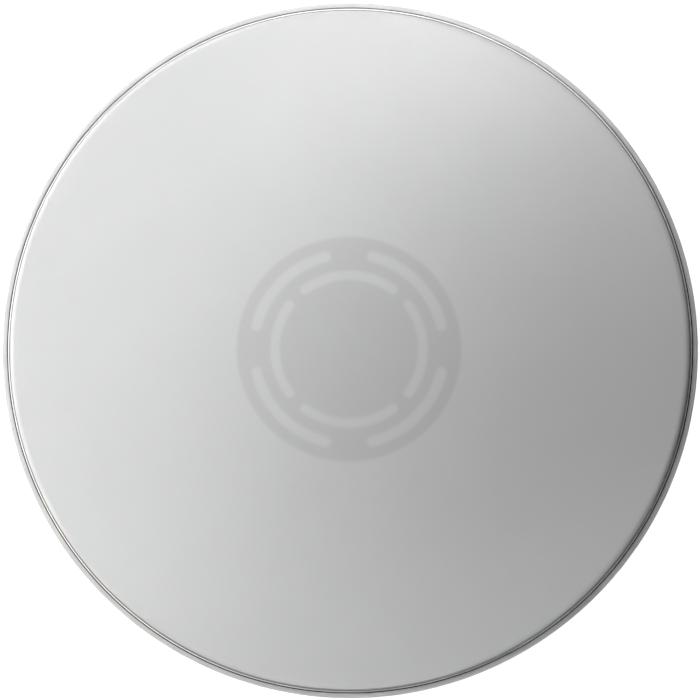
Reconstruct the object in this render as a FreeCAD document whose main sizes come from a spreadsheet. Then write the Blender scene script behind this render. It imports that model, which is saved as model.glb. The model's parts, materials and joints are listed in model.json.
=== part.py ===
"""A two-ply coated batter head for a 14 inch snare drum, with a slotted dot under its middle.

An aluminium channel is rolled into a hoop and filled with epoxy resin. Two plies of polyester film,
nested like two lids, stand in the resin: each has a flat crown, a bevelled shoulder, a steep collar
and an upright skirt whose punched windows the resin fills. A self-adhesive film dot with curved slots
is stuck under the lower ply, and the playing surface is a sprayed coat on the upper one.

Frame: millimetres, +Z up through the playing surface, origin at the middle of the hoop's base.
"""

import FreeCAD
import Part

import os
from math import cos, sin

import Sketcher
from FreeCAD import Placement, Rotation, Vector

# Driving dimensions: name, value in millimetres, degrees or pieces, and what it measures.
SIZES = (
    ("shell_diameter", 355.6, "outside of the drum shell that the head fits over, 14 inches"),
    ("shell_clearance", 1.5, "gap between the shell and the hoop, each side"),
    ("hoop_width", 5.2, "radial width of the hoop's channel, outside to outside"),
    ("hoop_height", 9.5, "height of the hoop, base to the top of its lip"),
    ("hoop_wall", 0.9, "thickness of the channel's strip"),
    ("lip_width", 1.9, "plan width of the lip that turns in over the channel"),
    ("base_bevel", 0.7, "bevel of the channel's two bottom corners"),
    ("lip_bevel", 0.5, "bevel where the outer wall turns into the lip"),
    ("inner_freeboard", 0.6, "height of the inner wall above the resin"),
    ("crown_height", 8.5, "height of the upper ply above the lip"),
    ("ply_thickness", 0.254, "one ply of film, 10 thousandths of an inch"),
    ("collar_angle", 80.0, "slope of the collar, in degrees from level"),
    ("shoulder_radius", 2.2, "round between the crown and the collar, which the shoulder's flat touches"),
    ("skirt_floor_gap", 1.0, "resin between the films' bottom edges and the channel's floor"),
    ("window_count", 10, "punched windows in each skirt, filled by the resin"),
    ("window_length", 6.0, "length of a window along the rim"),
    ("window_height", 3.0, "height of a window"),
    ("plug_root", 0.3, "how far a window's plug reaches into the resin on each side"),
    ("coat_thickness", 0.06, "sprayed coat on the upper ply"),
    ("coat_margin", 0.3, "bare film between the coat's edge and the shoulder"),
    ("dot_diameter", 119.0, "outside of the dot"),
    ("dot_film", 0.076, "film of the dot, 3 thousandths of an inch"),
    ("dot_glue", 0.05, "coat of glue on the dot's film"),
    ("slot_count", 4, "curved slots in each of the dot's two rings"),
    ("dot_border", 6.2, "film outside the outer ring of slots"),
    ("outer_slot_width", 5.6, "width of an outer slot"),
    ("outer_slot_angle", 61.5, "angle between the end centres of an outer slot, in degrees"),
    ("slot_gap", 6.0, "film between the two rings of slots"),
    ("inner_slot_width", 5.0, "width of an inner slot"),
    ("inner_slot_angle", 73.0, "angle between the end centres of an inner slot, in degrees"),
    ("cut_overrun", 1.0, "how far a cut runs past the face that it opens"),
)

doc = FreeCAD.newDocument("drum_head")
sheet = doc.addObject("Spreadsheet::Sheet", "sizes")
for row, (alias, size, meaning) in enumerate(SIZES, start=1):
    sheet.set(f"A{row}", meaning)
    sheet.set(f"B{row}", str(size))
    sheet.setAlias(f"B{row}", alias)
doc.recompute()

# Radii and heights that several pieces share, worked out from the driving dimensions.
BORE = "(sizes.shell_diameter / 2 + sizes.shell_clearance)"
RIM = f"({BORE} + sizes.hoop_width)"
LIP_EDGE = f"({RIM} - sizes.lip_width)"
INNER_WALL = f"({BORE} + sizes.hoop_wall)"
OUTER_WALL = f"({RIM} - sizes.hoop_wall)"
FLOOR = "sizes.hoop_wall"
LIP_TOP = "sizes.hoop_height"
RESIN_TOP = "(sizes.hoop_height - sizes.hoop_wall)"
INNER_TOP = f"({RESIN_TOP} + sizes.inner_freeboard)"
SKIRT_END = f"({FLOOR} + sizes.skirt_floor_gap)"
WINDOW_LEVEL = f"(({SKIRT_END} + {RESIN_TOP}) / 2)"
CROWN = f"({LIP_TOP} + sizes.crown_height)"
# The two skirts stand together in the middle of the channel's mouth.
BOTH_PLIES = "(2 * sizes.ply_thickness)"
SKIRT = f"(({INNER_WALL} + {LIP_EDGE} + {BOTH_PLIES}) / 2)"
SKIRT_INSIDE = f"({SKIRT} - {BOTH_PLIES})"
# The collar leans in from the skirt by its slope's angle from upright, and clears the resin inside.
LEAN = "(90 deg - sizes.collar_angle * 1 deg)"
COLLAR_FOOT = f"({RESIN_TOP} + {BOTH_PLIES} * tan({LEAN} / 2))"
# The flat crown ends at the shoulder's flat, a quarter of the turn past the middle of its round.
SHOULDER_MIDDLE = (
    f"({SKIRT} - sizes.shoulder_radius / cos({LEAN})"
    f" - ({CROWN} - sizes.shoulder_radius - {COLLAR_FOOT}) * tan({LEAN}))"
)
FLAT_RADIUS = f"({SHOULDER_MIDDLE} + sizes.shoulder_radius * tan(sizes.collar_angle * 1 deg / 4))"
UNDER_PLIES = f"({CROWN} - {BOTH_PLIES})"
DOT_THICKNESS = "(sizes.dot_film + sizes.dot_glue)"
# Each ring of slots is placed from the outside in, by the film left beside it.
OUTER_SLOTS = "(sizes.dot_diameter / 2 - sizes.dot_border - sizes.outer_slot_width / 2)"
SLOT_STEP = "(sizes.slot_gap + (sizes.outer_slot_width + sizes.inner_slot_width) / 2)"
INNER_SLOTS = f"({OUTER_SLOTS} - {SLOT_STEP})"

# The sketcher's numbers for the places on a line or arc, and for a sketch's own axes.
START, END, MIDDLE = range(1, 4)
X_AXIS, Y_AXIS = range(-1, -3, -1)
ORIGIN = (X_AXIS, START)


def number(expression):
    """An expression's value at the sheet's present sizes."""
    return float(sheet.evalExpression(expression))


def new_body(label):
    body = doc.addObject("PartDesign::Body", label)
    body.Label = label
    return body


def origin_part(body, role):
    return next(part for part in body.Origin.OriginFeatures if part.Role == role)


def new_sketch(body, name, plane, height=None, turn=None):
    """A sketch on one of the body's own planes, raised by one expression and turned by another."""
    sketch = body.newObject("Sketcher::SketchObject", name)
    sketch.AttachmentSupport = [(origin_part(body, plane), "")]
    sketch.MapMode = "FlatFace"
    if turn:
        sketch.AttachmentOffset = Placement(Vector(), Rotation(Vector(0, 0, 1), number(turn)))
        sketch.setExpression("AttachmentOffset.Rotation.Angle", turn)
    if height:
        sketch.setExpression("AttachmentOffset.Base.z", height)
    return sketch


def keep(sketch, kind, expression, *places):
    """Adds a dimension to a sketch and ties it to an expression. A new angle is given in radians."""
    first = number(f"({expression}) / 1 rad" if kind == "Angle" else expression)
    index = sketch.addConstraint(Sketcher.Constraint(kind, *places, first))
    sketch.setExpression(f"Constraints[{index}]", expression)


def fix(sketch, kind, *places):
    sketch.addConstraint(Sketcher.Constraint(kind, *places))


def polygon(sketch, corners):
    """A closed outline of straight lines. Line i runs from corner i to the next one."""
    count = len(corners)
    for i in range(count):
        sketch.addGeometry(Part.LineSegment(corners[i], corners[(i + 1) % count]), False)
    for i in range(count):
        fix(sketch, "Coincident", i, END, (i + 1) % count, START)


def check_change(feature, before, grows):
    """A feature has to add material, or take some away, as it is meant to."""
    doc.recompute()
    after = feature.Shape.Volume
    if after == before or (after > before) != grows:
        raise RuntimeError(f"{feature.Name} took the volume from {before} to {after}")


def revolve(body, sketch, kind="PartDesign::Revolution"):
    """Turns a profile round the upright axis. A groove takes it away from what is there."""
    doc.recompute()
    grows = kind == "PartDesign::Revolution"
    before = 0 if grows else body.Shape.Volume
    feature = body.newObject(kind, f"{sketch.Name}_turned")
    feature.Profile = sketch
    feature.ReferenceAxis = (sketch, ["V_Axis"])
    feature.Angle = 360
    feature.Refine = False
    check_change(feature, before, grows)


def extrude(body, sketch, kind, length=None, copies=None):
    """Pads or pockets a sketch along its normal, and repeats that round the upright axis."""
    doc.recompute()
    grows = kind == "PartDesign::Pad"
    before = body.Shape.Volume if body.Tip else 0
    feature = body.newObject(kind, f"{sketch.Name}_{'pad' if grows else 'cut'}")
    feature.Profile = sketch
    feature.Refine = False
    feature.Reversed = not grows
    if length:
        feature.setExpression("Length", length)
    else:
        feature.Type = "ThroughAll"
    check_change(feature, before, grows)
    if copies:
        before = feature.Shape.Volume
        ring = body.newObject("PartDesign::PolarPattern", f"{sketch.Name}_ring")
        ring.Originals = [feature]
        ring.Axis = (origin_part(body, "Z_Axis"), [""])
        ring.Angle = 360
        ring.Refine = False
        ring.setExpression("Occurrences", copies)
        body.Tip = ring
        check_change(ring, before, grows)


def bevel_rings(body, name, size, places):
    """Bevels the circular edges at the given radii and heights."""
    wanted = [(number(radius), number(height)) for radius, height in places]
    near = number(f"{size} / 10")
    base = body.Tip
    found = []
    for index, edge in enumerate(base.Shape.Edges, start=1):
        curve = edge.Curve
        if isinstance(curve, Part.Circle):
            for radius, height in wanted:
                if abs(curve.Radius - radius) < near and abs(curve.Center.z - height) < near:
                    found.append(f"Edge{index}")
    if len(found) != len(wanted):
        raise RuntimeError(f"{name} found {len(found)} edges of {len(wanted)}")
    before = base.Shape.Volume
    feature = body.newObject("PartDesign::Chamfer", name)
    feature.Base = (base, found)
    feature.setExpression("Size", size)
    feature.Refine = False
    check_change(feature, before, grows=False)


def step_profile(sketch, sides):
    """A closed outline of level and upright sides. Each side is given by the coordinate it keeps."""
    corners = []
    for side, last_side in zip(sides, sides[-1:] + sides[:-1]):
        place = dict((side, last_side))
        corners.append(Vector(number(place["radius"]), number(place["height"]), 0))
    polygon(sketch, corners)
    for line, (kept, expression) in enumerate(sides):
        level = kept == "height"
        fix(sketch, "Horizontal" if level else "Vertical", line)
        if expression == "0":
            fix(sketch, "PointOnObject", line, START, X_AXIS)
        else:
            keep(sketch, "DistanceY" if level else "DistanceX", expression, *ORIGIN, line, START)


def make_hoop():
    """The channel: two walls on a floor, with the outer wall turned in at the top as a lip."""
    body = new_body("flesh_hoop")
    sketch = new_sketch(body, "channel", "XZ_Plane")
    sides = [
        ("height", "0"),
        ("radius", RIM),
        ("height", LIP_TOP),
        ("radius", LIP_EDGE),
        ("height", RESIN_TOP),
        ("radius", OUTER_WALL),
        ("height", FLOOR),
        ("radius", INNER_WALL),
        ("height", INNER_TOP),
        ("radius", BORE),
    ]
    step_profile(sketch, sides)
    revolve(body, sketch)
    bevel_rings(body, "base_corners", "sizes.base_bevel", [(BORE, "0"), (RIM, "0")])
    bevel_rings(body, "lip_corner", "sizes.lip_bevel", [(RIM, LIP_TOP)])
    return body


def window_outline(sketch):
    """The outline shared by a punched window and the resin plug in it."""
    half = number("sizes.window_length / 2")
    middle = number(WINDOW_LEVEL)
    rise = number("sizes.window_height / 2")
    low, high = middle - rise, middle + rise
    polygon(sketch, [Vector(x, y, 0) for x, y in ((-half, low), (half, low), (half, high), (-half, high))])
    bottom, right, top, left = range(4)
    fix(sketch, "Symmetric", bottom, START, bottom, END, Y_AXIS)
    fix(sketch, "Vertical", right)
    fix(sketch, "Horizontal", top)
    fix(sketch, "Vertical", left)
    keep(sketch, "DistanceX", "sizes.window_length", bottom, START, bottom, END)
    keep(sketch, "DistanceY", "sizes.window_height", right, START, right, END)
    keep(sketch, "DistanceY", f"{WINDOW_LEVEL} - sizes.window_height / 2", *ORIGIN, bottom, START)


def make_resin():
    """The casting fills the channel round the two skirts, and plugs their windows."""
    body = new_body("potting_resin")
    sketch = new_sketch(body, "casting", "XZ_Plane")
    sides = [
        ("height", FLOOR),
        ("radius", OUTER_WALL),
        ("height", RESIN_TOP),
        ("radius", SKIRT),
        ("height", SKIRT_END),
        ("radius", SKIRT_INSIDE),
        ("height", RESIN_TOP),
        ("radius", INNER_WALL),
    ]
    step_profile(sketch, sides)
    revolve(body, sketch)
    plug = new_sketch(body, "plug", "YZ_Plane", height=f"{SKIRT_INSIDE} - sizes.plug_root")
    window_outline(plug)
    length = f"{BOTH_PLIES} + 2 * sizes.plug_root"
    extrude(body, plug, "PartDesign::Pad", length, copies="sizes.window_count")
    return body


def lid_profile(sketch, depth, bottom, seam=None):
    """Half of a lid's outline, some plies deep inside the upper ply's outer face, down to a bottom edge.

    The shoulder's flat, the crown and the collar all touch one round, so lids of any depth are parallel.
    A seam splits the crown at a radius, so that its middle and its outer ring are two faces.
    """
    inset = f"{depth} * sizes.ply_thickness"
    top = f"({CROWN} - {inset})"
    skirt = f"({SKIRT} - {inset})"
    round_radius = f"(sizes.shoulder_radius - {inset})"
    collar_foot = f"({COLLAR_FOOT} - {inset} * tan({LEAN} / 2))"
    shoulder_slope = "180 deg - sizes.collar_angle * 1 deg / 2"

    top_z, bottom_z, skirt_r = number(top), number(bottom), number(skirt)
    centre = Vector(number(SHOULDER_MIDDLE), number(f"{top} - {round_radius}"), 0)
    quarter_turn = number("sizes.collar_angle * 1 deg / 4 / 1 rad")
    upright = number("90 deg / 1 rad")
    reach = number(f"{round_radius} / cos(sizes.collar_angle * 1 deg / 4)")
    high, low = (
        centre + Vector(cos(upright - turns * quarter_turn), sin(upright - turns * quarter_turn), 0) * reach
        for turns in (1, 3)
    )
    corners = [
        Vector(0, bottom_z, 0),
        Vector(skirt_r, bottom_z, 0),
        Vector(skirt_r, number(collar_foot), 0),
        low,
        high,
        Vector(0, top_z, 0),
    ]
    if seam:
        corners.insert(-1, Vector(number(seam), top_z, 0))
    polygon(sketch, corners)
    floor, wall, collar, shoulder, crown = range(5)
    axis = len(corners) - 1
    rounding = sketch.addGeometry(Part.Circle(centre, Vector(0, 0, 1), number(round_radius)), True)
    fix(sketch, "PointOnObject", axis, START, Y_AXIS)
    fix(sketch, "PointOnObject", axis, END, Y_AXIS)
    fix(sketch, "Horizontal", floor)
    fix(sketch, "Vertical", wall)
    for level in range(crown, axis):
        fix(sketch, "Horizontal", level)
    for line in (collar, shoulder, crown):
        fix(sketch, "Tangent", line, rounding)
    keep(sketch, "Radius", round_radius, rounding)
    keep(sketch, "DistanceY", bottom, *ORIGIN, axis, END)
    keep(sketch, "DistanceY", top, *ORIGIN, axis, START)
    keep(sketch, "DistanceX", skirt, *ORIGIN, wall, START)
    keep(sketch, "DistanceY", collar_foot, *ORIGIN, collar, START)
    keep(sketch, "Angle", "180 deg - sizes.collar_angle * 1 deg", collar)
    keep(sketch, "Angle", shoulder_slope, shoulder)
    if seam:
        keep(sketch, "DistanceX", seam, *ORIGIN, crown, END)


def make_ply(label, depth, seam=None):
    """One formed film, some plies below the outer face: a solid lid hollowed by the next lid in."""
    body = new_body(label)
    outside = new_sketch(body, f"{label}_outside", "XZ_Plane")
    lid_profile(outside, depth, SKIRT_END)
    revolve(body, outside)
    inside = new_sketch(body, f"{label}_inside", "XZ_Plane")
    lid_profile(inside, depth + 1, f"({SKIRT_END} - sizes.cut_overrun)", seam)
    revolve(body, inside, "PartDesign::Groove")
    window = new_sketch(body, f"{label}_window", "YZ_Plane", height=BORE)
    window_outline(window)
    extrude(body, window, "PartDesign::Pocket", copies="sizes.window_count")
    return body


def make_disc(label, base, diameter, thickness):
    """A thin flat disc on the axis, from a base height up."""
    body = new_body(label)
    sketch = new_sketch(body, f"{label}_outline", "XY_Plane", height=base)
    sketch.addGeometry(Part.Circle(Vector(), Vector(0, 0, 1), number(f"{diameter} / 2")), False)
    fix(sketch, "Coincident", 0, MIDDLE, *ORIGIN)
    keep(sketch, "Diameter", diameter, 0)
    extrude(body, sketch, "PartDesign::Pad", thickness)
    return body


def curved_slot(sketch, middle, width, angle):
    """A slot along a circle about the origin, with round ends, centred on the sketch's X axis."""
    end_radius = f"({width} / 2)"
    half_angle = f"({angle} * 1 deg / 2)"
    far = f"({middle} + {end_radius})"
    near = f"({middle} - {end_radius})"
    end_height = f"({middle} * sin({half_angle}))"
    swing = number(f"{half_angle} / 1 rad")
    half_turn = number("180 deg / 1 rad")

    def arc(x, y, radius, first, last):
        circle = Part.Circle(Vector(x, y, 0), Vector(0, 0, 1), number(radius))
        return sketch.addGeometry(Part.ArcOfCircle(circle, first, last), False)

    outside = arc(0, 0, far, -swing, swing)
    inside = arc(0, 0, near, -swing, swing)
    end_x = number(f"{middle} * cos({half_angle})")
    end_y = number(end_height)
    left = arc(end_x, end_y, end_radius, swing, swing + half_turn)
    right = arc(end_x, -end_y, end_radius, -swing - half_turn, -swing)
    fix(sketch, "Coincident", outside, MIDDLE, *ORIGIN)
    fix(sketch, "Coincident", inside, MIDDLE, *ORIGIN)
    fix(sketch, "Tangent", outside, END, left, START)
    fix(sketch, "Tangent", left, END, inside, END)
    fix(sketch, "Tangent", inside, START, right, START)
    fix(sketch, "Tangent", right, END, outside, START)
    keep(sketch, "Radius", far, outside)
    keep(sketch, "Radius", near, inside)
    keep(sketch, "DistanceY", end_height, *ORIGIN, left, MIDDLE)
    keep(sketch, "DistanceY", end_height, right, MIDDLE, *ORIGIN)


def make_dot():
    """The dot: a disc of film and its glue, with two rings of slots half a step apart."""
    base = f"({UNDER_PLIES} - {DOT_THICKNESS})"
    body = make_disc("control_dot", base, "sizes.dot_diameter", DOT_THICKNESS)
    half_step = "180 / sizes.slot_count"
    for ring, middle, turn in (("inner", INNER_SLOTS, None), ("outer", OUTER_SLOTS, half_step)):
        sketch = new_sketch(body, f"{ring}_slot", "XY_Plane", height=base, turn=turn)
        curved_slot(sketch, middle, f"sizes.{ring}_slot_width", f"sizes.{ring}_slot_angle")
        extrude(body, sketch, "PartDesign::Pocket", copies="sizes.slot_count")
    return body


coat_diameter = f"(2 * ({FLAT_RADIUS} - sizes.coat_margin))"
pieces = [
    make_hoop(),
    make_resin(),
    make_ply("upper_ply", 0),
    make_ply("lower_ply", 1, seam="sizes.dot_diameter / 2"),
    make_disc("surface_coating", CROWN, coat_diameter, "sizes.coat_thickness"),
    make_dot(),
]
doc.recompute()

failed = [o.Name for o in doc.Objects if "Invalid" in o.State or "Error" in o.State]
if failed:
    raise RuntimeError(f"failed features: {failed}")
os.makedirs("parts", exist_ok=True)
for piece in pieces:
    shape = piece.Shape
    if shape.isNull() or not shape.isValid() or len(shape.Solids) != 1:
        raise RuntimeError(f"{piece.Label} is not one sound solid")
    shape.exportStep(os.path.join("parts", f"{piece.Label}.step"))
    print(f"{piece.Label}: {shape.Volume:.1f} mm3, {len(shape.Faces)} faces")
print(f"flat crown radius {number(FLAT_RADIUS):.2f} mm, skirt radius {number(SKIRT):.2f} mm")
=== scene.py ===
"""A two-ply coated drum head, seen from almost straight above on a white studio table.

The pieces are made at their real sizes, in metres, in the frame's own axes: +Z up through the playing
surface, origin at the middle of the hoop's base. They come in the order in which a head is put together.
"""

import json
import math

import bmesh
import bpy
from mathutils import Euler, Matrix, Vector


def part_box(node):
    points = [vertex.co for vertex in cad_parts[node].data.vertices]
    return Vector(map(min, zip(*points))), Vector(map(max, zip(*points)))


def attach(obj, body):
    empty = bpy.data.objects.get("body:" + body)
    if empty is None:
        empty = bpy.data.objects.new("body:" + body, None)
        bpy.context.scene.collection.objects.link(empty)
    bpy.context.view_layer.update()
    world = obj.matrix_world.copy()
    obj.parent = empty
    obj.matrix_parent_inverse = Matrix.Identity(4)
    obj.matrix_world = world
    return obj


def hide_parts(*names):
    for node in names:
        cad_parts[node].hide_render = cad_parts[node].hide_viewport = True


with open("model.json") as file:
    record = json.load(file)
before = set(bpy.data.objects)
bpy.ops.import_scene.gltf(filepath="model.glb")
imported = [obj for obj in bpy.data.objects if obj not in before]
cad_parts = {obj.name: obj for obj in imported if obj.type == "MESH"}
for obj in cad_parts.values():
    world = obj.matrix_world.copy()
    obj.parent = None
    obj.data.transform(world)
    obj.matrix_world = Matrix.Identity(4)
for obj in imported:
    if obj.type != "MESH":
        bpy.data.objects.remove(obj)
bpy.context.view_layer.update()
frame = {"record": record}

# The flesh hoop.
# An aluminium strip is roll-formed to a channel with a lip, bent to a ring, and its two ends butt together.
# The rolls leave fine lines along the strip, and the cut edges and bends are slightly rounded.
MM = 0.001
mounts = {mount["name"]: mount for mount in frame["record"]["mounts"]}
rim_radius = mounts["hoop_outside"]["dims"]["r_mm"] * MM
bore_radius = mounts["shell_bore"]["dims"]["r_mm"] * MM
hoop_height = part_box("flesh_hoop")[1].z
hoop_wall = 0.9 * MM
lip_width = 2.4 * MM
inner_wall_height = 9.2 * MM
base_corner = 1.2 * MM
lip_corner = 0.5 * MM
channel_corner = 0.4 * MM
cut_edge = 0.3 * MM
lip_edge = rim_radius - lip_width
under_lip = hoop_height - hoop_wall
channel_inside = bore_radius + hoop_wall
channel_outside = rim_radius - hoop_wall
turn_steps = 720
corner_steps = 8
weld_distance = 0.002 * MM
sharp_angle = math.radians(35)


def add(tree, kind, inputs=None, **settings):
    """Adds a node with its settings, and sets or links its inputs by name or number."""
    node = tree.nodes.new(kind)
    for name, value in settings.items():
        setattr(node, name, value)
    for place, value in (inputs or {}).items():
        if isinstance(value, bpy.types.NodeSocket):
            tree.links.new(value, node.inputs[place])
        else:
            node.inputs[place].default_value = value
    return node


def new_tree(name, inputs, result):
    """A geometry tree with named inputs and one output: gives the tree and its inputs' sockets."""
    tree = bpy.data.node_groups.new(name, "GeometryNodeTree")
    for title, kind in inputs.items():
        tree.interface.new_socket(title, in_out="INPUT", socket_type="NodeSocket" + kind)
    tree.interface.new_socket(result, in_out="OUTPUT", socket_type="NodeSocketGeometry")
    return tree, add(tree, "NodeGroupInput").outputs


def end_tree(tree, geometry, material, result):
    """Ends a geometry tree: makes instances real, sets the material and hands the geometry out."""
    real = add(tree, "GeometryNodeRealizeInstances", {"Geometry": geometry})
    dressed = add(tree, "GeometryNodeSetMaterial", {"Geometry": real.outputs[0], "Material": material})
    add(tree, "NodeGroupOutput", {result: dressed.outputs[0]})


def turning_tree():
    """Nodes that round a profile's corners, each by its point's own radius, and turn it round the axis."""
    inputs = {
        "Profile": "Geometry",
        "Turning Radius": "Float",
        "Turn Steps": "Int",
        "Corner Steps": "Int",
        "Material": "Material",
    }
    tree, given = new_tree("turn_profile", inputs, "Ring")
    corner = add(tree, "GeometryNodeInputRadius").outputs[0]
    rounded = add(
        tree,
        "GeometryNodeFilletCurve",
        {"Curve": given["Profile"], "Count": given["Corner Steps"], "Radius": corner, "Limit Radius": True},
        mode="POLY",
    )
    circle = add(
        tree,
        "GeometryNodeCurvePrimitiveCircle",
        {"Resolution": given["Turn Steps"], "Radius": given["Turning Radius"]},
    )
    upright = add(tree, "GeometryNodeSetCurveNormal", {"Curve": circle.outputs[0]}, mode="Z_UP")
    swept = add(
        tree,
        "GeometryNodeCurveToMesh",
        {"Curve": upright.outputs[0], "Profile Curve": rounded.outputs[0]},
    )
    end_tree(tree, swept.outputs[0], given["Material"], "Ring")
    return tree


def drawn(name, lines, closed):
    """A curve object of straight stretches, from lines of (x, y, corner radius) points."""
    curve = bpy.data.curves.new(name, "CURVE")
    curve.dimensions = "3D"
    for points in lines:
        line = curve.splines.new("POLY")
        line.points.add(len(points) - 1)
        line.use_cyclic_u = closed
        for place, (x, y, corner) in zip(line.points, points):
            place.co = (x, y, 0, 1)
            place.radius = corner
    return bpy.data.objects.new(name, curve)


def run_tree(name, source, tree, values):
    """Runs a geometry tree on an object, and gives the result as a plain mesh object of that name."""
    bpy.context.scene.collection.objects.link(source)
    modifier = source.modifiers.new(name, "NODES")
    modifier.node_group = tree
    for item in tree.interface.items_tree:
        if item.in_out == "INPUT" and item.name in values:
            modifier[item.identifier] = values[item.name]
    graph = bpy.context.evaluated_depsgraph_get()
    mesh = bpy.data.meshes.new_from_object(source.evaluated_get(graph))
    mesh.name = name
    bpy.data.objects.remove(source)
    shape = bmesh.new()
    shape.from_mesh(mesh)
    bmesh.ops.remove_doubles(shape, verts=shape.verts, dist=weld_distance)
    bmesh.ops.recalc_face_normals(shape, faces=shape.faces)
    shape.to_mesh(mesh)
    shape.free()
    mesh.shade_smooth()
    mesh.set_sharp_from_angle(angle=sharp_angle)
    piece = bpy.data.objects.new(name, mesh)
    bpy.context.scene.collection.objects.link(piece)
    return piece


turn_profile = turning_tree()


def turned(name, points, material, closed):
    """Turns an outline of (radius, height, corner radius) points round the axis."""
    profile = [(radius - rim_radius, -height, corner) for radius, height, corner in points]
    values = {
        "Turning Radius": rim_radius,
        "Turn Steps": turn_steps,
        "Corner Steps": corner_steps,
        "Material": material,
    }
    return run_tree(name, drawn(name, [profile], closed), turn_profile, values)


def linear(code):
    """Turns an sRGB hex colour to linear light, with full opacity."""
    shares = [int(code[place : place + 2], 16) / 255 for place in (1, 3, 5)]
    return [s / 12.92 if s <= 0.04045 else ((s + 0.055) / 1.055) ** 2.4 for s in shares] + [1]


def new_material(name, **constants):
    """A material with a bare Principled shader: gives it, its tree, the shader and Object coordinates."""
    material = bpy.data.materials.new(name)
    material.use_nodes = True
    tree = material.node_tree
    tree.nodes.clear()
    shader = add(tree, "ShaderNodeBsdfPrincipled", constants)
    add(tree, "ShaderNodeOutputMaterial", {"Surface": shader.outputs[0]})
    place = add(tree, "ShaderNodeTexCoord").outputs["Object"]
    return material, tree, shader, place


def polar(tree, place):
    """The distance from the head's axis, the angle round it and the height."""
    x, y, height = add(tree, "ShaderNodeSeparateXYZ", {0: place}).outputs
    flat = add(tree, "ShaderNodeCombineXYZ", {0: x, 1: y}).outputs[0]
    radius = add(tree, "ShaderNodeVectorMath", {0: flat}, operation="LENGTH").outputs["Value"]
    turn = add(tree, "ShaderNodeMath", {0: y, 1: x}, operation="ARCTAN2").outputs[0]
    return radius, turn, height


def clouded(tree, place, patch, detail, dark, light):
    """Soft noise with patches of one size, and the tone that it mixes from two hex colours: gives both."""
    noise = add(tree, "ShaderNodeTexNoise", {"Vector": place, "Scale": 1 / patch, "Detail": detail})
    cloud = noise.outputs["Fac"]
    ends = {"Factor": cloud, "A": linear(dark), "B": linear(light)}
    tone = add(tree, "ShaderNodeMix", ends, data_type="RGBA")
    return cloud, tone.outputs["Result"]


def etched_aluminium():
    """Rolled and etched aluminium: a matte grey metal, with faint lines that run round the ring."""
    etch_patch = 9 * MM
    line_spacing = 0.25 * MM
    line_depth = 0.004 * MM
    lines_per_radian = 6
    smooth = 0.66
    rough = 0.78
    material, tree, shader, place = new_material("aluminium_rolled_etched", Metallic=1.0)
    radius, turn, height = polar(tree, place)
    along = add(tree, "ShaderNodeMath", {0: turn, 1: lines_per_radian * line_spacing}, operation="MULTIPLY")
    rolled = add(tree, "ShaderNodeCombineXYZ", {0: radius, 1: along.outputs[0], 2: height}).outputs[0]
    noise = add(tree, "ShaderNodeTexNoise", {"Vector": rolled, "Scale": 1 / line_spacing, "Detail": 2.0})
    lines = noise.outputs["Fac"]
    tone = clouded(tree, place, etch_patch, detail=3.0, dark="#c4c4c4", light="#d1d1d1")[1]
    gloss = add(tree, "ShaderNodeMapRange", {"Value": lines, "To Min": smooth, "To Max": rough})
    bump = add(tree, "ShaderNodeBump", {"Height": lines, "Distance": line_depth})
    tree.links.new(tone, shader.inputs["Base Color"])
    tree.links.new(gloss.outputs[0], shader.inputs["Roughness"])
    tree.links.new(bump.outputs[0], shader.inputs["Normal"])
    return material


hoop = turned(
    "flesh_hoop_ring",
    [
        (bore_radius, 0, base_corner),
        (rim_radius, 0, base_corner),
        (rim_radius, hoop_height, lip_corner),
        (lip_edge, hoop_height, cut_edge),
        (lip_edge, under_lip, cut_edge),
        (channel_outside, under_lip, 0),
        (channel_outside, hoop_wall, channel_corner),
        (channel_inside, hoop_wall, channel_corner),
        (channel_inside, inner_wall_height, cut_edge),
        (bore_radius, inner_wall_height, cut_edge),
    ],
    etched_aluminium(),
    closed=True,
)
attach(hoop, "root")
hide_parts("flesh_hoop")

# The potting resin.
# Epoxy is cast into the hoop's channel round the skirts of the two films, and holds them once it has set.
# It stands up in a low bead between the collar and the lip, with a crease on either side; shade is painted
# into the resin's colour, near black down in the creases.
skirt_inset = 0.44 * MM
skirt_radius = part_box("upper_ply")[1].x - skirt_inset
skirt_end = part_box("upper_ply")[0].z
ply_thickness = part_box("upper_ply")[1].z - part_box("lower_ply")[1].z
skirt_inside = skirt_radius - 2 * ply_thickness
collar_lean = math.radians(5.3)
collar_foot = 3 * MM
bead_width = 0.56 * MM
bead_rise = 0.95 * MM
bead_round = 0.1 * MM
gap_width = 0.62 * MM
crease_depth = 0.9 * MM
crease_floor = under_lip - crease_depth
bead_top = under_lip + bead_rise
bead_outside = lip_edge - gap_width
bead_inside = bead_outside - bead_width


def collar_inset(level):
    """How far in from the skirt the leaning collar has come at a level."""
    return (level - collar_foot) * math.tan(collar_lean)


def cast_epoxy():
    """Cast epoxy: glossy, with soft ripples from the pour; pale in the bead, with painted shade that makes
    it near black down in the creases.
    """
    ripple = 4 * MM
    ripple_depth = 0.02 * MM
    material, tree, shader, place = new_material("epoxy_cast", Roughness=0.3)
    cloud, pale = clouded(tree, place, ripple, detail=3.0, dark="#f6f6f6", light="#fcfcfc")
    level = add(tree, "ShaderNodeSeparateXYZ", {0: place}).outputs[2]
    # Painted shade: the colour runs from the pale tone at the bead's top down its sides to near black at
    # the lip's underside and below it, in the creases.
    crease_shade_mask = add(
        tree,
        "ShaderNodeMapRange",
        {"Value": level, "From Min": under_lip, "From Max": bead_top - bead_round},
    )
    ends = {"Factor": crease_shade_mask.outputs[0], "A": linear("#181818"), "B": pale}
    tone = add(tree, "ShaderNodeMix", ends, data_type="RGBA")
    bump = add(tree, "ShaderNodeBump", {"Height": cloud, "Distance": ripple_depth})
    tree.links.new(tone.outputs["Result"], shader.inputs["Base Color"])
    tree.links.new(bump.outputs[0], shader.inputs["Normal"])
    return material


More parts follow.
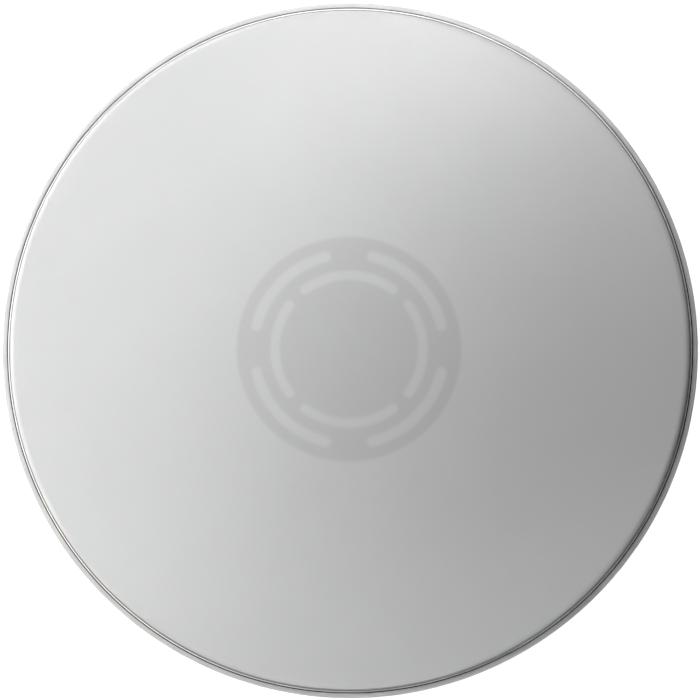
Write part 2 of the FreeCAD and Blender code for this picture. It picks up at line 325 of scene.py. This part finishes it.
resin = turned(
    "potting_resin_ring",
    [
        (channel_inside, hoop_wall, channel_corner),
        (channel_outside, hoop_wall, channel_corner),
        (channel_outside, under_lip, 0),
        (lip_edge, under_lip, 0),
        (lip_edge, crease_floor, 0),
        (bead_outside, crease_floor, 0),
        (bead_outside, bead_top, bead_round),
        (bead_inside, bead_top, bead_round),
        (bead_inside, crease_floor, 0),
        (skirt_radius - collar_inset(crease_floor), crease_floor, 0),
        (skirt_radius, collar_foot, 0),
        (skirt_radius, skirt_end, 0),
        (skirt_inside, skirt_end, 0),
        (skirt_inside, collar_foot, 0),
        (skirt_inside - collar_inset(under_lip), under_lip, 0),
        (channel_inside, under_lip, 0),
    ],
    cast_epoxy(),
    closed=True,
)
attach(resin, "root")
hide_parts("potting_resin")

# The two plies.
# Two polyester films are heat-formed like lids, one nested in the other, with a flat crown, a rounded
# shoulder, a steep collar and a straight skirt that the resin holds. A breath of air stays between them.
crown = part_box("upper_ply")[1].z
shoulder_round = 2.6 * MM
throat_round = 3 * MM
crown_support = 3 * MM
air_gap = 0.02 * MM
shoulder_corner = skirt_radius - collar_inset(crown)
shoulder_turn = math.radians(90) - collar_lean


def lid_line(depth):
    """The lid's line from the axis to the skirt's end, this deep below the upper film's outer face."""
    corner = shoulder_corner - depth * math.tan(shoulder_turn / 2)
    foot = collar_foot - depth * math.tan(collar_lean / 2)
    return [
        (0, crown - depth, 0),
        (corner - shoulder_round - crown_support, crown - depth, 0),
        (corner, crown - depth, shoulder_round - depth),
        (skirt_radius - depth, foot, throat_round - depth),
        (skirt_radius - depth, skirt_end, 0),
    ]


def polyester_film():
    """Clear polyester: a thin, hazy sheet that mirrors the lights, a little uneven from the forming."""
    draw_mark = 14 * MM
    smooth = 0.1
    rough = 0.2
    material, tree, shader, place = new_material("polyester_film_formed", IOR=1.6)
    shader.inputs["Transmission Weight"].default_value = 0.35
    haze, tone = clouded(tree, place, draw_mark, detail=2.0, dark="#e6e6e6", light="#f2f2f2")
    gloss = add(tree, "ShaderNodeMapRange", {"Value": haze, "To Min": smooth, "To Max": rough})
    tree.links.new(tone, shader.inputs["Base Color"])
    tree.links.new(gloss.outputs[0], shader.inputs["Roughness"])
    return material


film = polyester_film()
for node, outer_depth, inner_depth in (
    ("upper_ply", 0, ply_thickness - air_gap / 2),
    ("lower_ply", ply_thickness + air_gap / 2, 2 * ply_thickness),
):
    section = lid_line(outer_depth) + lid_line(inner_depth)[::-1]
    ply = turned(node + "_film", section, film, closed=False)
    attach(ply, "root")
    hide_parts(node)

# The control dot.
# A thin polyester disc with two rings of curved slots, die-cut, is stuck under the middle of the lower ply.
# It damps the middle of the head; the slots let the film flex.
dot_low, dot_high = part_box("control_dot")
dot_radius = dot_high.x
dot_thickness = dot_high.z - dot_low.z
slots_per_ring = 4
# Each ring of slots: middle radius, width, angle between the end rounds' middles, angle of the first slot.
slot_rings = {
    "outer": (50.5 * MM, 5.6 * MM, math.radians(61.5), math.radians(45)),
    "inner": (39.2 * MM, 5.0 * MM, math.radians(73), 0.0),
}
slot_steps = 48
end_steps = 12


def slot_line(radius, width, angle, turn):
    """A curved slot with round ends, as one closed line of (x, y, 0) points round the axis."""
    line = []
    for way in (1, -1):
        # A long side, the outer one on the way out and the inner one on the way back, then the end's round.
        reach = way * width / 2
        for step in range(slot_steps + 1):
            place = turn - way * angle / 2 + way * angle * step / slot_steps
            line.append(((radius + reach) * math.cos(place), (radius + reach) * math.sin(place), 0))
        heading = turn + way * angle / 2
        for step in range(1, end_steps):
            swing = heading + math.pi * step / end_steps
            x = radius * math.cos(heading) + reach * math.cos(swing)
            y = radius * math.sin(heading) + reach * math.sin(swing)
            line.append((x, y, 0))
    return line


def punching_tree():
    """Nodes that repeat the slots round the axis, fill the disc between them and give it its thickness."""
    inputs = {
        "Slots": "Geometry",
        "Dot Radius": "Float",
        "Underside": "Float",
        "Thickness": "Float",
        "Slots Per Ring": "Int",
        "Edge Steps": "Int",
        "Material": "Material",
    }
    tree, given = new_tree("punch_dot", inputs, "Dot")
    places = add(tree, "GeometryNodePoints", {"Count": given["Slots Per Ring"]})
    number = add(tree, "GeometryNodeInputIndex").outputs[0]
    step = add(tree, "ShaderNodeMath", {0: math.tau, 1: given["Slots Per Ring"]}, operation="DIVIDE")
    turn = add(tree, "ShaderNodeMath", {0: number, 1: step.outputs[0]}, operation="MULTIPLY")
    spin = add(tree, "ShaderNodeCombineXYZ", {2: turn.outputs[0]})
    copies = add(
        tree,
        "GeometryNodeInstanceOnPoints",
        {"Points": places.outputs[0], "Instance": given["Slots"], "Rotation": spin.outputs[0]},
    )
    holes = add(tree, "GeometryNodeRealizeInstances", {"Geometry": copies.outputs[0]})
    edge = add(
        tree,
        "GeometryNodeCurvePrimitiveCircle",
        {"Resolution": given["Edge Steps"], "Radius": given["Dot Radius"]},
    )
    lines = add(tree, "GeometryNodeJoinGeometry", {"Geometry": holes.outputs[0]})
    tree.links.new(edge.outputs[0], lines.inputs[0])
    sheet = add(tree, "GeometryNodeFillCurve", {"Curve": lines.outputs[0]})
    height = add(tree, "ShaderNodeCombineXYZ", {2: given["Underside"]})
    low = add(
        tree, "GeometryNodeTransform", {"Geometry": sheet.outputs[0], "Translation": height.outputs[0]}
    )
    up = add(tree, "ShaderNodeCombineXYZ", {2: given["Thickness"]})
    thick = add(
        tree,
        "GeometryNodeExtrudeMesh",
        {"Mesh": low.outputs[0], "Offset": up.outputs[0], "Offset Scale": 1.0, "Individual": False},
    )
    both = add(tree, "GeometryNodeJoinGeometry", {"Geometry": low.outputs[0]})
    tree.links.new(thick.outputs["Mesh"], both.inputs[0])
    end_tree(tree, both.outputs[0], given["Material"], "Dot")
    return tree


def glued_polyester():
    """Polyester with glue behind it: milky, and less glossy than the bare film."""
    mottle = 2.5 * MM
    material, tree, shader, place = new_material("polyester_dot_glued", IOR=1.57, Roughness=0.28)
    shader.inputs["Transmission Weight"].default_value = 0.3
    tone = clouded(tree, place, mottle, detail=4.0, dark="#bcbcbc", light="#cdcdcd")[1]
    tree.links.new(tone, shader.inputs["Base Color"])
    return material


dot = run_tree(
    "control_dot_film",
    drawn("control_dot_film", [slot_line(*ring) for ring in slot_rings.values()], closed=True),
    punching_tree(),
    {
        "Dot Radius": dot_radius,
        "Underside": dot_low.z,
        "Thickness": dot_thickness,
        "Slots Per Ring": slots_per_ring,
        "Edge Steps": turn_steps // 2,
        "Material": glued_polyester(),
    },
)
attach(dot, "root")
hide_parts("control_dot")

# The surface coating.
# White acrylic with a fine grit is sprayed on the crown, and thins out to nothing over the shoulder.
# It is thin enough for the dot below to show through as a faint, soft-edged grey.
coat_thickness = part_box("surface_coating")[1].z - crown
coat_wrap = math.radians(74)
coat_steps = 20
shoulder_middle = shoulder_corner - shoulder_round * math.tan(shoulder_turn / 2)


def sprayed_acrylic():
    """Sprayed acrylic: satin white with a fine stipple, a little uneven, and greyer over the dot."""
    # The grit is drawn coarser than it is, so that it shows.
    grit = 0.9 * MM
    grit_height = 0.02 * MM
    spray_cloud = 45 * MM
    soft_edge = 1.3 * MM
    material, tree, shader, place = new_material("acrylic_coat_sprayed", Roughness=0.55)
    radius, turn = polar(tree, place)[:2]
    shown = add(
        tree,
        "ShaderNodeMapRange",
        {
            "Value": radius,
            "From Min": dot_radius - soft_edge,
            "From Max": dot_radius + soft_edge,
            "To Min": 1.0,
            "To Max": 0.0,
        },
        interpolation_type="SMOOTHSTEP",
    ).outputs[0]
    for middle, width, angle, start in slot_rings.values():
        # The distance to the slot's middle line, measured from the line's end past the end.
        swing = add(tree, "ShaderNodeMath", {0: turn, 1: start}, operation="SUBTRACT")
        fold = add(
            tree,
            "ShaderNodeMath",
            {0: swing.outputs[0], 1: math.pi / slots_per_ring},
            operation="PINGPONG",
        )
        past = add(
            tree,
            "ShaderNodeMath",
            {0: fold.outputs[0], 1: angle / 2},
            operation="SUBTRACT",
            use_clamp=True,
        )
        nearness = add(tree, "ShaderNodeMath", {0: past.outputs[0]}, operation="COSINE")
        reach = add(tree, "ShaderNodeMath", {0: radius, 1: nearness.outputs[0]}, operation="MULTIPLY")
        squares = add(
            tree, "ShaderNodeMath", {0: radius, 1: radius, 2: middle**2}, operation="MULTIPLY_ADD"
        )
        square = add(
            tree,
            "ShaderNodeMath",
            {0: reach.outputs[0], 1: -2 * middle, 2: squares.outputs[0]},
            operation="MULTIPLY_ADD",
        )
        distance = add(tree, "ShaderNodeMath", {0: square.outputs[0]}, operation="SQRT")
        outside = add(
            tree,
            "ShaderNodeMapRange",
            {
                "Value": distance.outputs[0],
                "From Min": width / 2 - soft_edge,
                "From Max": width / 2 + soft_edge,
            },
            interpolation_type="SMOOTHSTEP",
        )
        shown = add(
            tree, "ShaderNodeMath", {0: shown, 1: outside.outputs[0]}, operation="MULTIPLY"
        ).outputs[0]
    field = clouded(tree, place, spray_cloud, detail=3.0, dark="#c9c9c9", light="#cecece")[1]
    ends = {"Factor": shown, "A": field, "B": linear("#c0c0c0")}
    tone = add(tree, "ShaderNodeMix", ends, data_type="RGBA")
    stipple = add(tree, "ShaderNodeTexNoise", {"Vector": place, "Scale": 1 / grit, "Detail": 2.0})
    bump = add(tree, "ShaderNodeBump", {"Height": stipple.outputs["Fac"], "Distance": grit_height})
    tree.links.new(tone.outputs["Result"], shader.inputs["Base Color"])
    tree.links.new(bump.outputs[0], shader.inputs["Normal"])
    return material


coat_line = [(0, crown + coat_thickness, 0), (shoulder_middle - crown_support, crown + coat_thickness, 0)]
film_line = [(0, crown, 0), (shoulder_middle - crown_support, crown, 0)]
for step in range(coat_steps + 1):
    swing = coat_wrap * step / coat_steps
    thinning = coat_thickness * (1 - (step / coat_steps) ** 2)
    for line, radius in ((coat_line, shoulder_round + thinning), (film_line, shoulder_round)):
        across = shoulder_middle + radius * math.sin(swing)
        level = crown - shoulder_round + radius * math.cos(swing)
        line.append((across, level, 0))
coat = turned("surface_coating_skin", coat_line + film_line[-2::-1], sprayed_acrylic(), closed=False)
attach(coat, "root")
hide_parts("surface_coating")

# The studio.
# The head lies on a white table, under one large soft box on the upper left. Four boxes with grids lift
# parts of the field, and three low ones at a distance light the collar and the hoop's side.
table_half = 5.0
table_drop = 0.05 * MM


def white_laminate():
    """Matte white laminate: even and almost without gloss, with a trace of unevenness."""
    patch = 600 * MM
    material, tree, shader, place = new_material("laminate_white_matte", Roughness=0.8)
    tone = clouded(tree, place, patch, detail=2.0, dark="#f4f4f4", light="#f8f8f8")[1]
    tree.links.new(tone, shader.inputs["Base Color"])
    return material


table_mesh = bpy.data.meshes.new("table")
shape = bmesh.new()
corners = [(-1, -1), (1, -1), (1, 1), (-1, 1)]
shape.faces.new([shape.verts.new((x * table_half, y * table_half, -table_drop)) for x, y in corners])
shape.to_mesh(table_mesh)
shape.free()
table_mesh.materials.append(white_laminate())
table = bpy.data.objects.new("table", table_mesh)
table.visible_diffuse = False
table.visible_glossy = False
bpy.context.scene.collection.objects.link(table)


def softbox(name, place, aim, size, power, spread=180):
    """A soft box at a place, turned to its aim, of a width and height in metres and a power in watts.

    A grid narrows its spread, in degrees.
    """
    lamp = bpy.data.lights.new(name, "AREA")
    lamp.shape = "RECTANGLE"
    lamp.size, lamp.size_y = size
    lamp.energy = power
    lamp.spread = math.radians(spread)
    box = bpy.data.objects.new(name, lamp)
    box.location = place
    box.rotation_euler = (Vector(aim) - Vector(place)).to_track_quat("-Z", "Y").to_euler()
    box.visible_camera = False
    bpy.context.scene.collection.objects.link(box)
    return box


middle = (0, 0, 0)
softbox("overhead_box", (-0.40, 0.40, 1.50), middle, (0.8, 0.8), 11.05)
softbox("left_grid_box", (-0.80, 0.15, 0.75), (-0.26, 0.034, 0), (0.4, 0.4), 0.399, spread=16)
softbox("top_grid_box", (-0.05, 0.68, 0.96), (0.055, 0.18, 0), (0.3, 0.3), 0.067, spread=14)
softbox("top_spot_box", (0.05, 0.20, 1.20), (0.05, 0.2, 0), (0.2, 0.1), 0.0389, spread=12)
softbox("bottom_grid_box", (0.08, -0.48, 1.06), (0.05, -0.2, 0), (0.5, 0.2), 0.066, spread=12)

low_box_height = 0.11
low_box_size = (0.6, 0.18)
low_box_aim = (0, 0, 0.012)
for name, x, y, power in (
    ("low_left_box", -1.30, 0.75, 10.4),
    ("low_front_box", 0, -1.50, 7.2),
    ("low_back_box", 0.93, 1.18, 4.4),
):
    softbox(name, (x, y, low_box_height), low_box_aim, low_box_size, power)

# This one lights the table alone, so that it stays white round the head.
table_only = bpy.data.collections.new("table_only")
table_only.objects.link(table)
table_box = softbox("table_box", (0, 0, 2.5), middle, (3.0, 3.0), 170)
table_box.light_linking.receiver_collection = table_only

# Bounced light takes the room instead of the table: dim above, and below it pale to the upper left and
# dark to the lower right, as with a white card on one side and a black one on the other.
pale_side = Vector((-0.87, 0.5, 0))
black_card_end = -0.5
white_card_end = 0.7
card_black = 0.0
card_white = 0.72
horizon_blend = 0.1
room_above = 0.06
world = bpy.data.worlds.new("studio")
bpy.context.scene.world = world
world.use_nodes = True
tree = world.node_tree
heading = add(tree, "ShaderNodeTexCoord").outputs["Generated"]
height = add(tree, "ShaderNodeSeparateXYZ", {0: heading}).outputs[2]
share = add(tree, "ShaderNodeVectorMath", {0: heading, 1: pale_side}, operation="DOT_PRODUCT")
cards = add(
    tree,
    "ShaderNodeMapRange",
    {
        "Value": share.outputs["Value"],
        "From Min": black_card_end,
        "From Max": white_card_end,
        "To Min": card_black,
        "To Max": card_white,
    },
    interpolation_type="SMOOTHSTEP",
).outputs[0]
room = add(
    tree,
    "ShaderNodeMapRange",
    {"Value": height, "From Min": 0.0, "From Max": horizon_blend, "To Min": cards, "To Max": room_above},
).outputs[0]
tree.links.new(room, tree.nodes["Background"].inputs["Strength"])
tree.nodes["Background"].inputs["Color"].default_value = linear("#ffffff")

# The camera.
# It looks almost straight down from far off, and stands a little to the lower right of the head.
image_size = 700
rim_pixels = 347.9
middle_pixel = (349.6, 349.85)
camera_distance = 5.0
lean_right = math.radians(2.1)
lean_down = math.radians(2.8)
pixel = rim_radius / rim_pixels
camera_data = bpy.data.cameras.new("camera")
camera_data.sensor_width = 36
camera_data.lens = camera_data.sensor_width * camera_distance / (pixel * image_size)
camera = bpy.data.objects.new("camera", camera_data)
camera.rotation_euler = Euler((lean_down, lean_right, 0))
aim_x = -(middle_pixel[0] - image_size / 2) * pixel
aim_y = (middle_pixel[1] - image_size / 2) * pixel
stand_off = camera.rotation_euler.to_matrix() @ Vector((0, 0, camera_distance))
camera.location = Vector((aim_x, aim_y, hoop_height)) + stand_off
bpy.context.scene.collection.objects.link(camera)
bpy.context.scene.camera = camera
bpy.context.scene.view_settings.view_transform = "Standard"
